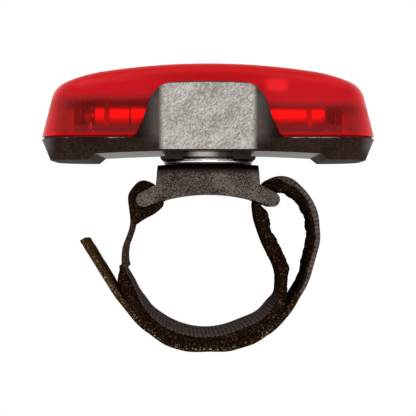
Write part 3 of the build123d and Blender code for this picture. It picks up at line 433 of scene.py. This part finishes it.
led = Finish("led_package")
phosphor = led.ramp(led.along_z, *phosphor_up)
led_cloud = led.grain(0.0006)
led_tint = led.mixed(phosphor, paint(226, 226, 220), paint(236, 208, 96))
led_tint = led.mixed(led_cloud * 0.2, led_tint, paint(250, 244, 214))
led_surface = led.surface(led_tint, 0.3 - 0.15 * phosphor, led.relief(led_cloud, 0.00001))
dress(led.settle(led_surface), "leds")
mirror = Finish("reflector_plastic")
mirror_cloud = mirror.grain(0.0007)
mirror_tint = mirror.mixed(mirror_cloud, paint(222, 222, 218), paint(244, 244, 240))
mirror_surface = mirror.surface(mirror_tint, 0.22, mirror.relief(mirror_cloud, 0.00001))
dress(mirror.settle(mirror_surface), "led_reflector")

# Chip, resistors and push switch: black epoxy on the chip, ceramic bodies with tinned ends on the resistors,
# and a black switch on the tray's rail, whose bright pins run up to the board.
tinned_end = (0.00050, 0.00055)
pin_up = (0.02032, 0.02038)

epoxy = Finish("chip_epoxy")
epoxy_grain = epoxy.grain(0.0002)
epoxy_tint = epoxy.mixed(epoxy_grain, paint(24, 24, 26), paint(52, 52, 54))
epoxy_surface = epoxy.surface(epoxy_tint, 0.5, epoxy.relief(epoxy_grain, 0.00001))
dress(epoxy.settle(epoxy_surface), "control_chip")
ceramic = Finish("resistor_ceramic")
tinned = ceramic.ramp(abs(ceramic.along_y), *tinned_end)
ceramic_tint = ceramic.mixed(tinned, paint(30, 32, 36), paint(196, 196, 192))
ceramic_relief = ceramic.relief(ceramic.grain(0.0002), 0.00001)
ceramic_surface = ceramic.surface(ceramic_tint, 0.45 - 0.15 * tinned, ceramic_relief, Metallic=0.9 * tinned)
dress(ceramic.settle(ceramic_surface), "resistors")
switch = Finish("switch_body")
pins = switch.ramp(switch.along_z, *pin_up)
switch_grain = switch.grain(0.0003)
switch_tint = switch.mixed(switch_grain, paint(34, 34, 36), paint(58, 58, 60))
switch_tint = switch.mixed(pins, switch_tint, paint(200, 198, 192))
switch_surface = switch.surface(switch_tint, 0.45, switch.relief(switch_grain, 0.00001), Metallic=0.9 * pins)
dress(switch.settle(switch_surface), "push_switch")

# Lead wires: stranded copper in a red and a black sleeve, slightly matt. They run from the contacts' tabs
# over the cells to the board's edge, and are soldered at both ends.
for wire_name, sleeve in (("lead_wire_plus", (196, 44, 40)), ("lead_wire_minus", (34, 32, 32))):
    wire = Finish(wire_name + "_sleeve")
    wire_grain = wire.grain(0.0004)
    lighter = tuple(part + 30 for part in sleeve)
    wire_tint = wire.mixed(wire_grain, paint(*sleeve), paint(*lighter))
    wire_surface = wire.surface(wire_tint, 0.5, wire.relief(wire_grain, 0.00001))
    dress(wire.settle(wire_surface), wire_name)

# Seal: a soft cord of dark red silicone, pressed into the seam between the lens and the housing in two runs
# that end at the side tabs.
seal = Finish("seal_silicone")
seal_grain = seal.grain(0.0003)
seal_tint = seal.mixed(seal_grain, paint(104, 10, 16), paint(136, 18, 24))
seal_surface = seal.surface(seal_tint, 0.65, seal.relief(seal_grain, 0.00002), Specular_IOR_Level=0.1)
dress(seal.settle(seal_surface), "cover_seals")

# Cover lens: red polycarbonate, injection moulded, located in the housing by its tongue. It lets light
# through tinted, and its skin scatters a part: little in the window before the cells, more in the top and
# the sloped ends, which are also painted brighter as a sheen. A glow is painted in a patch at the right of
# the near side, before the LEDs.
end_out = (0.0262, 0.0312)
seam_up = (0.0111, 0.0117)
top_up = (0.0170, 0.0196)
top_sink = 0.0013
top_sink_right = (-0.004, 0.004)
crown_up = (0.0212, 0.0232)
window_up = (0.0126, 0.0134)
window_out = (0.0240, 0.0270)

lens = Finish("lens_polycarbonate")
haze = lens.grain(0.006)
height = lens.along_z + 0.0004 * haze
reach = abs(lens.along_x)
# The sloped ends are painted brighter, as a sheen.
end_sheen = lens.ramp(reach, *end_out)
seam = lens.drop(lens.along_z, *seam_up)
top = lens.ramp(height + top_sink * lens.ramp(lens.along_x, *top_sink_right), *top_up)
crown = lens.ramp(height, *crown_up)
window = lens.ramp(height, *window_up) * (1 - top) * lens.drop(reach, *window_out)

# Painted glow in a patch at the right of the near side, before the LEDs.
glow_from = (0.0102, 0.0116)
glow_to = (0.0140, 0.0154)
glow_low = (0.0189, 0.0200)
glow_high = (0.0212, 0.0222)
glow_back = (-0.0040, 0.0)
lens_painted_glow = lens.band(lens.along_x, glow_from, glow_to) * lens.band(height, glow_low, glow_high)
lens_painted_glow = lens_painted_glow * lens.drop(lens.along_y, *glow_back)

skin_tint = lens.mixed(haze, paint(204, 62, 62), paint(214, 68, 68))
skin_tint = lens.mixed(top, skin_tint, paint(224, 20, 32))
skin_tint = lens.mixed(crown, skin_tint, paint(202, 0, 14))
skin_tint = lens.mixed(end_sheen * 0.8, skin_tint, paint(255, 22, 34))
skin_tint = lens.mixed(seam, skin_tint, paint(228, 4, 20))
skin_tint = lens.mixed(lens_painted_glow, skin_tint, paint(240, 28, 36))
skin_surface = lens.surface(skin_tint, 0.2, lens.relief(haze, 0.00002), Specular_IOR_Level=0.1)
deep = lens.add("ShaderNodeBsdfTransparent", {}, {"Color": (0.88, 0.07, 0.10, 1.0)})
bright = lens.add("ShaderNodeBsdfTransparent", {}, {"Color": (1.0, 0.08, 0.10, 1.0)})
through = lens.add("ShaderNodeMixShader", {}, {0: window + 0.5 * crown + 0.4 * end_sheen, 1: deep, 2: bright})
scatter = 0.2 + 0.05 * haze - 0.1 * window + 0.46 * top - 0.26 * crown
scatter = scatter + 0.54 * end_sheen + 0.3 * seam + 0.3 * lens_painted_glow
lens_shader = lens.add("ShaderNodeMixShader", {}, {0: scatter, 1: through, 2: skin_surface})
dress(lens.settle(lens_shader), "lens")


# Loop tape: nylon tape 17 mm wide, woven on one face and with a thick pile on the other, cut from the reel.
# It runs from the anchor tape round the inside, through the right slot and back to the hook tape. Each of
# the strap's tapes is a flat band, so it is made as one band swept along its route.
def bent_route(corners, bends, spacing):
    """Evenly spaced points, in millimetres, along straight runs joined by arcs of the given radii."""
    arc_step = 0.04
    smoothings = 4
    corners = [Vector(corner) for corner in corners]
    dense = [corners[0]]
    for before, corner, after, bend in zip(corners, corners[1:], corners[2:], bends):
        into = (corner - before).normalized()
        onward = (after - corner).normalized()
        turn = math.atan2(into.x * onward.y - into.y * onward.x, into.dot(onward))
        start = corner - into * bend * math.tan(abs(turn) / 2)
        centre = start + Vector((-into.y, into.x)) * math.copysign(bend, turn)
        steps = max(2, round(abs(turn) / arc_step))
        for step in range(steps + 1):
            spoke = start - centre
            spoke.rotate(Matrix.Rotation(turn * step / steps, 2))
            dense.append(centre + spoke)
    dense.append(corners[-1])
    walked = [0.0]
    for here, there in zip(dense, dense[1:]):
        walked.append(walked[-1] + (there - here).length)
    count = round(walked[-1] / spacing)
    points, index = [], 0
    for step in range(count + 1):
        wanted = walked[-1] * step / count
        while index < len(dense) - 2 and walked[index + 1] < wanted:
            index += 1
        span = max(walked[index + 1] - walked[index], 1e-9)
        points.append(dense[index].lerp(dense[index + 1], (wanted - walked[index]) / span))
    for _ in range(smoothings):
        inner = [(a + 2 * b + c) / 4 for a, b, c in zip(points, points[1:], points[2:])]
        points = [points[0]] + inner + [points[-1]]
    return points


def profile(*stops):
    """A value that glides between stops, each a distance along a route in millimetres and its value."""

    def value_at(distance):
        for (before, low), (after, high) in zip(stops, stops[1:]):
            if distance < after:
                share = min(1.0, max(0.0, (distance - before) / (after - before)))
                return low + (high - low) * share * share * (3 - 2 * share)
        return stops[-1][1]

    return value_at


def ring_across(width, whole):
    """Points round a tape's section, each a place across it and a depth.

    The depth is 0 on the woven face and 1 on the rough one.
    """
    face_steps = 46
    bend_steps = 6
    edge = 0.3 * whole
    reach = width / 2 - edge
    face = [(reach * (2 * step / face_steps - 1), 0.0) for step in range(face_steps + 1)]
    depths = [step / bend_steps for step in range(1, bend_steps)]
    edge_down = [(reach + edge * math.sin(math.pi * depth), depth) for depth in depths]
    back = [(-y, 1.0) for y, _ in face]
    edge_up = [(-y, 1 - depth) for y, depth in edge_down]
    return face + edge_down + back + edge_up


def lump(spot):
    """How high the pile stands at a spot, in broad, middling and fine lumps."""
    return 0.5 * noise.noise(spot * 0.42) + 0.45 * noise.noise(spot * 1.15) + 0.3 * noise.noise(spot * 3.0)


def start_piece(name, mesh):
    """A new piece with that mesh, selected and active for the operators that follow."""
    piece = bpy.data.objects.new(name, mesh)
    bpy.context.collection.objects.link(piece)
    piece.select_set(True)
    bpy.context.view_layer.objects.active = piece
    return piece


def tape(name, points, thickness, pile, shift, skew, lumps, edge_cloth, material):
    """A closed band along the points, its woven face left of the route and its rough face right of it.

    The profiles give, along the route: the cloth's thickness, the height of the pile on it, how far the band
    is moved to the left, how much further its far edge is, the height of its lumps, and how much of its
    edges is cloth.
    """
    width = 17.1
    half = width / 2
    rough_blend = 0.12
    wander_far = 0.1
    wander_rate = 0.35
    fray_share = 0.5
    fray_rate = 2.3
    count = len(points)
    spacing = (points[1] - points[0]).length
    vertices, roughness, patterns = [], [], []
    for index, point in enumerate(points):
        distance = index * spacing
        travel = (points[min(index + 1, count - 1)] - points[max(index - 1, 0)]).normalized()
        left = Vector((-travel.y, travel.x))
        cloth = thickness(distance)
        whole = cloth + pile(distance)
        for y, depth in ring_across(width, whole):
            spot = Vector((point.x, y, point.y))
            sunk = (1 - math.cos(math.pi * depth)) / 2
            rough = min(1.0, max(0.0, (depth - edge_cloth(distance)) / rough_blend + 0.5))
            lift = cloth / 2 - whole * sunk - rough * lumps(distance) * lump(spot)
            wander = wander_far * noise.noise(Vector((distance * wander_rate, 0, 3 if y > 0 else 9)))
            fray = rough * lumps(distance) * fray_share * noise.noise(spot * fray_rate + Vector((5, 0, 0)))
            y_out = y + (wander + fray) * (abs(y) / half) ** 6 * math.copysign(1, y)
            aside = lift + shift(distance) + skew(distance) * (y + half) / width
            place = point + left * aside
            vertices.append((place.x / 1000, y_out / 1000, place.y / 1000))
            roughness.append(rough)
            patterns.append((distance / 1000, y / 1000))
    size = len(vertices) // count
    faces = []
    for start in range(0, (count - 1) * size, size):
        for column in range(size):
            beside = (column + 1) % size
            faces.append((start + column, start + beside, start + size + beside, start + size + column))
    faces.append(tuple(reversed(range(size))))
    faces.append(tuple(range((count - 1) * size, count * size)))
    mesh = bpy.data.meshes.new(name)
    mesh.from_pydata(vertices, [], faces)
    mesh.attributes.new("rough", "FLOAT", "POINT").data.foreach_set("value", roughness)
    weave_map = mesh.uv_layers.new(name="weave")
    for loop in mesh.loops:
        weave_map.data[loop.index].uv = patterns[loop.vertex_index]
    mesh.materials.append(material)
    piece = start_piece(name, mesh)
    bpy.ops.object.mode_set(mode="EDIT")
    bpy.ops.mesh.select_all(action="SELECT")
    bpy.ops.mesh.normals_make_consistent(inside=False)
    bpy.ops.object.mode_set(mode="OBJECT")
    bpy.ops.object.shade_smooth()
    piece.select_set(False)
    return piece


def tape_finish(name, woven, fibres, glint, glint_from, woven_dark=(), lightened=(), lightened_tint=None):
    """Woven ribs on one face and a tangle of fibres with a few pale glints on the other.

    Each pair of colours goes from dark to light. Where woven_dark is 1 the woven face takes the fibres'
    colours, and where lightened is 1 the whole tape turns a lighter colour. Each of the two is a row of
    stops along the tape.
    """
    rib_length = 0.00084
    cord_width = 0.0012
    face_edge = (0.0074, 0.0080)
    cloth = Finish(name)
    rough = cloth.add("ShaderNodeAttribute", {"attribute_name": "rough"}, output="Fac")
    laid = cloth.add("ShaderNodeUVMap", {"uv_map": "weave"})
    length = cloth.add("ShaderNodeSeparateXYZ", {}, {0: laid}, "X")
    breadth = length.beside("Y")
    fray = cloth.grain(0.0006, 3.0, 0.6)
    blotch = cloth.grain(0.0024)
    tangle = cloth.grain(0.00042, 4.0, 0.7)
    ribs = cloth.wave(length + 0.05 * breadth + 0.0007 * fray, rib_length)
    cords = cloth.wave(breadth, cord_width)
    ribbed = cloth.ramp(0.22 * ribs + 0.1 * cords + 1.7 * fray + 0.8 * blotch, 0.6, 1.8)
    face = cloth.drop(abs(breadth), *face_edge)
    # The fibres on the flat faces are painted lighter than at the edges, as painted light.
    fibre = cloth.ramp(tangle, 0.42, 0.68) * (1 - 0.4 * face) + 0.4 * face
    pile_tint = cloth.mixed(fibre, paint(*fibres[0]), paint(*fibres[1]))
    weave_tint = cloth.mixed(ribbed, paint(*woven[0]), paint(*woven[1]))
    if woven_dark:
        weave_tint = cloth.mixed(cloth.stops(length, woven_dark), weave_tint, pile_tint)
    bristle = cloth.ramp(rough, 0.3, 0.7)
    tint = cloth.mixed(bristle, weave_tint, pile_tint)
    if lightened:
        paler = tuple(1.5 * part for part in lightened_tint)
        lightened_colours = cloth.mixed(face, paint(*lightened_tint), paint(*paler))
        lightening = cloth.stops(length, lightened) * cloth.ramp(tangle, 0.3, 0.62)
        tint = cloth.mixed(lightening, tint, lightened_colours)
    glints = cloth.ramp(cloth.grain(0.0003, 4.0, 0.65) + 0.16 * blotch, glint_from, glint_from + 0.1)
    tint = cloth.mixed(glints * bristle, tint, paint(*glint))
    relief = cloth.relief(bristle * tangle + (1 - bristle) * (0.5 * ribbed + 0.2 * fray), 0.0002)
    return cloth.settle(cloth.surface(tint, 0.88, relief, Specular_IOR_Level=0.0))


loop_corners = [(-15.85, -13.3), (-11.8, -24.4), (-0.6, -28.85), (10.95, -24.4), (14.45, -20.4)]
loop_corners += [(14.4, -15.2), (9.75, -4.0), (9.02, -1.93), (11.13, 2.04), (14.45, 3.75), (20.15, -1.75)]
loop_corners += [(21.0, -8.6), (18.6, -16.9), (17.32, -18.94)]
loop_bends = [11.5, 16.0, 10.0, 3.2, 8.0, 3.0, 1.2, 1.4, 4.0, 11.0, 8.0, 12.0]
loop_points = bent_route(loop_corners, loop_bends, 0.32)
loop_cloth = tape_finish(
    "loop_tape_cloth",
    woven=((48, 36, 35), (112, 98, 95)),
    fibres=((18, 8, 4), (48, 31, 22)),
    glint=(122, 102, 88),
    glint_from=0.67,
    woven_dark=((0.034, 0.0), (0.044, 1.0), (0.064, 1.0), (0.068, 0.0)),
)
loop_tape = tape(
    "loop_tape",
    loop_points,
    thickness=profile(
        (0.0, 0.6), (9.0, 1.3), (20.0, 1.2), (57.0, 1.2), (59.5, 0.95), (65.0, 0.95), (70.0, 1.15),
    ),
    pile=profile(
        (0.0, 0.3), (3.0, 1.75), (9.0, 1.5), (13.0, 1.15), (24.0, 1.2), (31.0, 1.6), (38.0, 1.3),
        (41.0, 0.5), (43.5, 0.5), (46.5, 1.05), (50.0, 1.15), (54.0, 0.8), (57.2, 1.35), (59.5, 0.4),
        (64.0, 0.5), (65.2, 2.1), (67.5, 2.0), (70.5, 1.25), (74.0, 0.7), (79.0, 0.4), (85.0, 0.3),
        (89.0, 0.0), (92.0, 0.0),
    ),
    shift=profile(
        (0.0, -0.5), (5.0, -0.15), (20.0, -0.1), (34.0, 0.05), (38.5, 0.55), (44.0, 0.4), (56.0, 0.4),
        (59.5, 0.0), (66.0, 0.1), (76.0, 0.1), (80.0, -0.1),
    ),
    skew=profile(
        (0.0, -0.6), (5.0, -0.45), (9.0, 0.15), (14.0, 0.6), (34.0, 0.6), (44.0, 0.0), (47.0, 0.0),
        (52.0, 0.3), (58.0, 0.0),
    ),
    lumps=profile(
        (0.0, 0.15), (12.0, 0.15), (40.0, 0.2), (45.0, 0.6), (55.0, 0.6), (58.0, 0.08), (65.0, 0.08),
        (69.0, 0.5), (86.0, 0.5), (91.0, 0.1),
    ),
    edge_cloth=profile((0.0, 0.1), (62.0, 0.1), (70.0, 0.45), (78.0, 0.58), (92.0, 0.58)),
    material=loop_cloth,
)
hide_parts("strap_loop_tape")
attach(loop_tape, "bracket")

# Hook tape: stiff nylon tape with hooks on its inner face, sewn to the loop tape's end at the right. It is
# pressed onto the pile round the bottom, and its free end, lighter in colour, stands off at the left.
hook_corners = [(17.32, -18.94), (16.04, -20.99), (11.89, -25.74), (-0.61, -30.55), (-13.05, -25.61)]
hook_corners += [(-23.8, -8.5)]
hook_points = bent_route(hook_corners, [4.785, 11.585, 17.585, 13.085], 0.32)
hook_cloth = tape_finish(
    "hook_tape_cloth",
    woven=((20, 9, 4), (50, 33, 22)),
    fibres=((22, 11, 5), (60, 42, 26)),
    glint=(182, 162, 130),
    glint_from=0.665,
    lightened=((0.034, 0.0), (0.046, 0.8)),
    lightened_tint=(82, 62, 38),
)
hook_tape = tape(
    "hook_tape",
    hook_points,
    thickness=profile((0.0, 0.9)),
    pile=profile((0.0, 0.25)),
    shift=profile(
        (0.0, 0.0), (5.0, 0.35), (9.5, 0.5), (12.8, 0.95), (16.5, 0.75), (21.0, 0.25), (25.6, 0.55),
        (28.5, 0.6), (33.0, -0.1), (37.5, -0.2), (43.0, 0.25), (55.0, 0.2),
    ),
    skew=profile((0.0, 0.0), (34.0, 0.0), (42.0, 0.6), (54.0, 0.6)),
    lumps=profile((0.0, 0.14)),
    edge_cloth=profile((0.0, 0.1)),
    material=hook_cloth,
)
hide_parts("strap_hook_tape")
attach(hook_tape, "bracket")

# Anchor tape: thin woven nylon tape folded round the left ear of the saddle, through its slot and sewn onto
# itself above the loop tape's start. Its lowest stretch, by the seam, is lighter in colour.
anchor_corners = [(-15.6, -14.0), (-15.91, -13.16), (-15.6, -10.0), (-14.2, -5.6), (-14.9, -0.2)]
anchor_corners += [(-12.9, 2.35), (-11.13, 2.04), (-9.02, -1.93), (-14.0, -5.6)]
anchor_points = bent_route(anchor_corners, [1.2, 8.0, 6.0, 2.0, 1.6, 0.8, 0.9], 0.25)
anchor_cloth = tape_finish(
    "anchor_tape_cloth",
    woven=((22, 10, 6), (60, 42, 32)),
    fibres=((20, 9, 4), (54, 37, 27)),
    glint=(116, 94, 78),
    glint_from=0.68,
    lightened=((0.007, 0.5), (0.010, 0.0)),
    lightened_tint=(92, 74, 64),
)
anchor_tape = tape(
    "anchor_tape",
    anchor_points,
    thickness=profile((0.0, 0.85)),
    pile=profile((0.0, 0.2)),
    shift=profile((0.0, 0.1), (3.0, 0.22), (7.0, 0.0), (23.0, 0.0), (25.5, 0.15), (28.0, 0.05), (30.0, 0.0)),
    skew=profile((0.0, 0.6), (9.0, 0.75), (14.0, 0.0), (22.0, 0.0), (25.0, -0.1), (29.0, -0.4)),
    lumps=profile((0.0, 0.1)),
    edge_cloth=profile((0.0, 0.3)),
    material=anchor_cloth,
)
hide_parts("strap_anchor_tape")
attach(anchor_tape, "bracket")

# Folded end of the anchor tape: the last 17 mm of the same tape, tucked double round the ear's tip inside
# the sewn eye, so that no light shows through the eye.
fold_width = 0.0166
crumple_far = 0.0002
crumple_rate = 0.9
fold_outline = [(-11.5, 1.8), (-12.6, 1.95), (-13.3, 1.6), (-14.1, 0.6), (-14.45, -0.3), (-14.35, -1.5)]
fold_outline += [(-14.05, -3.0), (-13.8, -4.9), (-13.3, -5.1), (-12.2, -4.2), (-11.0, -3.35)]
fold_outline += [(-9.75, -2.45), (-9.2, -1.9), (-9.5, -1.45), (-11.45, -2.2), (-12.35, -2.35)]
fold_outline += [(-13.1, -1.95), (-13.45, -1.1), (-13.25, -0.35), (-12.75, 0.1), (-11.9, 0.55), (-11.3, 0.9)]
fold_corners = [(x / 1000, -fold_width / 2, z / 1000) for x, z in fold_outline]
fold_mesh = bpy.data.meshes.new("anchor_tape_end")
fold_mesh.from_pydata(fold_corners, [], [tuple(range(len(fold_corners)))])
fold = start_piece("anchor_tape_end", fold_mesh)
bpy.ops.object.mode_set(mode="EDIT")
bpy.ops.mesh.select_all(action="SELECT")
bpy.ops.mesh.extrude_region_move(TRANSFORM_OT_translate={"value": (0, fold_width, 0)})
bpy.ops.mesh.select_all(action="SELECT")
bpy.ops.mesh.normals_make_consistent(inside=False)
bpy.ops.mesh.quads_convert_to_tris(quad_method="BEAUTY", ngon_method="BEAUTY")
bpy.ops.mesh.subdivide(number_cuts=3)
bpy.ops.object.mode_set(mode="OBJECT")
for corner in fold_mesh.vertices:
    spot = corner.co * 1000 * crumple_rate
    corner.co += Vector((noise.noise(spot), 0, noise.noise(spot + Vector((4, 0, 0))))) * crumple_far
fold_roughness = [1.0] * len(fold_mesh.vertices)
fold_mesh.attributes.new("rough", "FLOAT", "POINT").data.foreach_set("value", fold_roughness)
fold_map = fold_mesh.uv_layers.new(name="weave")
for loop in fold_mesh.loops:
    fold_map.data[loop.index].uv = (0.02, fold_mesh.vertices[loop.vertex_index].co.y)
fold_mesh.materials.append(anchor_cloth)
bpy.ops.object.shade_smooth()
fold.select_set(False)
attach(fold, "bracket")


# Floor: a pale plain card well under the strap. Near the object it is lit and keeps the shadow, and further
# off it turns into the white of the background.
def seen_rays(finish):
    """1 for what the camera sees, straight or by way of gloss or glass, and 0 for light on things."""
    straight = finish.add("ShaderNodeLightPath", output="Is Camera Ray")
    rays = {0: straight + straight.beside("Is Glossy Ray"), 1: straight.beside("Is Transmission Ray")}
    return finish.add("ShaderNodeMath", {"operation": "ADD", "use_clamp": True}, rays)


plain_white = (1.0, 1.0, 1.0, 1.0)
lit_end = (0.12, 0.24)

bpy.ops.mesh.primitive_circle_add(vertices=96, radius=2.0, fill_type="NGON", location=(0, 0, -0.085))
floor = bpy.context.object
floor.name = "floor_card"
card = Finish("floor_card")
far_off = card.ramp(card.distance(card.place), *lit_end)
lit = card.surface(card.mixed(card.grain(0.002), paint(244, 244, 244), paint(250, 250, 250)), 0.9)
white = card.add("ShaderNodeEmission", {}, {"Color": plain_white, "Strength": 1.0})
card_shader = card.add("ShaderNodeMixShader", {}, {0: seen_rays(card) * far_off, 1: lit, 2: white})
floor.data.materials.append(card.settle(card_shader))
floor.select_set(False)

# Studio: an even white surround that is dimmer as a light than as a background, a large soft lamp behind the
# camera, whose reflection is painted on the tabs' facets, and another one overhead.
sky_light = 0.55

sky = Finish("studio", bpy.data.worlds)
sky_level = sky_light + (1 - sky_light) * seen_rays(sky)
glow = sky.add("ShaderNodeBackground", {}, {"Color": plain_white, "Strength": sky_level})
bpy.context.scene.world = sky.settle(glow, "ShaderNodeOutputWorld")
for lamp_name, spot, breadth, power in (
    ("front_lamp", (0.05, -0.75, 0.12), 0.5, 1.6),
    ("top_lamp", (-0.1, -0.15, 0.7), 0.6, 1.4),
):
    bpy.ops.object.light_add(type="AREA", location=spot)
    lamp = bpy.context.object
    lamp.name = lamp_name
    lamp.data.shape = "DISK"
    lamp.data.size = breadth
    lamp.data.energy = power
    lamp.rotation_euler = (Vector() - Vector(spot)).to_track_quat("-Z", "Y").to_euler()
    lamp.select_set(False)

# Camera: level, facing the near long side from a quarter of a metre, a little lower than the saddle's seat.
# Its long lens keeps the perspective of the photograph.
bpy.ops.object.camera_add(location=(-0.00001, -0.248, -0.00265), rotation=(math.pi / 2, 0, 0))
camera = bpy.context.object
camera.data.sensor_width = 36.0
camera.data.lens = 109.38
camera.data.clip_start = 0.01
camera.data.clip_end = 10.0
bpy.context.scene.camera = camera
bpy.context.scene.view_settings.view_transform = "Standard"
